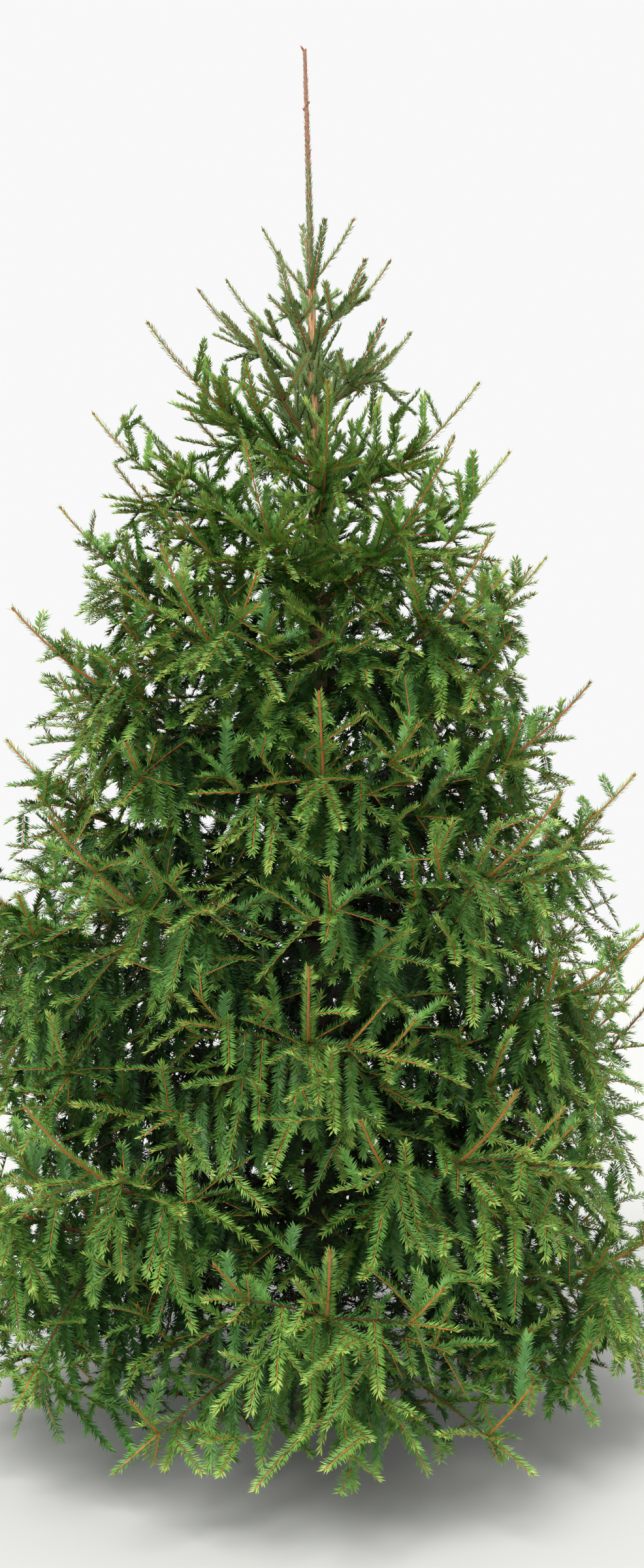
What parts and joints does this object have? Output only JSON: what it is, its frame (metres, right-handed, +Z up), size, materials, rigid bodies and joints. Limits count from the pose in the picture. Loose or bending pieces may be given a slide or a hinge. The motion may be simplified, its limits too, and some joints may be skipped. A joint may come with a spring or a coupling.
{
  "type": "spruce tree",
  "caption": "Young spruce tree with a straight tapering trunk, boughs in whorls, dense drooping needle sprays low down and an open top with a bare upright leader.",
  "frame": {"origin": "middle of the flat cut under the trunk, at ground level", "axes": "+Z up along the trunk, -Y towards the viewer of the picture, +X to that viewer's right"},
  "size_m": [1.9528, 2.0682, 3.505],
  "materials": {
    "bark": "rough bark",
    "foliage_dark": "waxy needles",
    "foliage_mid": "waxy needles",
    "foliage_light": "waxy needles"
  },
  "bodies": {
    "root": {"trunk": "bark", "bough_1a": "bark", "foliage_1a": "foliage_mid", "bough_1b": "bark", "foliage_1b": "foliage_light", "bough_1c": "bark", "foliage_1c": "foliage_dark", "bough_1d": "bark", "foliage_1d": "foliage_mid", "bough_1e": "bark", "foliage_1e": "foliage_light", "foliage_2a": "foliage_light", "foliage_2b": "foliage_dark", "foliage_2c": "foliage_mid", "foliage_2d": "foliage_light", "foliage_2e": "foliage_dark", "foliage_3a": "foliage_dark", "foliage_3b": "foliage_mid", "foliage_3c": "foliage_light", "foliage_3d": "foliage_dark", "foliage_3e": "foliage_mid", "foliage_4a": "foliage_mid", "foliage_4b": "foliage_light", "foliage_4c": "foliage_dark", "foliage_4d": "foliage_mid", "foliage_4e": "foliage_light", "foliage_5a": "foliage_light", "foliage_5b": "foliage_dark", "foliage_5c": "foliage_mid", "foliage_5d": "foliage_light", "foliage_5e": "foliage_dark", "foliage_6a": "foliage_dark", "foliage_6b": "foliage_mid", "foliage_6c": "foliage_light", "foliage_6d": "foliage_dark", "foliage_6e": "foliage_mid", "foliage_7a": "foliage_mid", "foliage_7b": "foliage_light", "foliage_7c": "foliage_dark", "foliage_7d": "foliage_mid", "foliage_7e": "foliage_light", "foliage_8a": "foliage_light", "foliage_8b": "foliage_dark", "foliage_8c": "foliage_mid", "foliage_8d": "foliage_light", "foliage_8e": "foliage_dark", "foliage_9a": "foliage_dark", "foliage_9b": "foliage_mid", "foliage_9c": "foliage_light", "foliage_9d": "foliage_dark", "foliage_9e": "foliage_mid", "foliage_10a": "foliage_mid", "foliage_10b": "foliage_light", "foliage_10c": "foliage_dark", "foliage_10d": "foliage_mid", "foliage_10e": "foliage_light", "foliage_11a": "foliage_light", "foliage_11b": "foliage_dark", "foliage_11c": "foliage_mid", "foliage_11d": "foliage_light"}
  },
  "joints": []
}
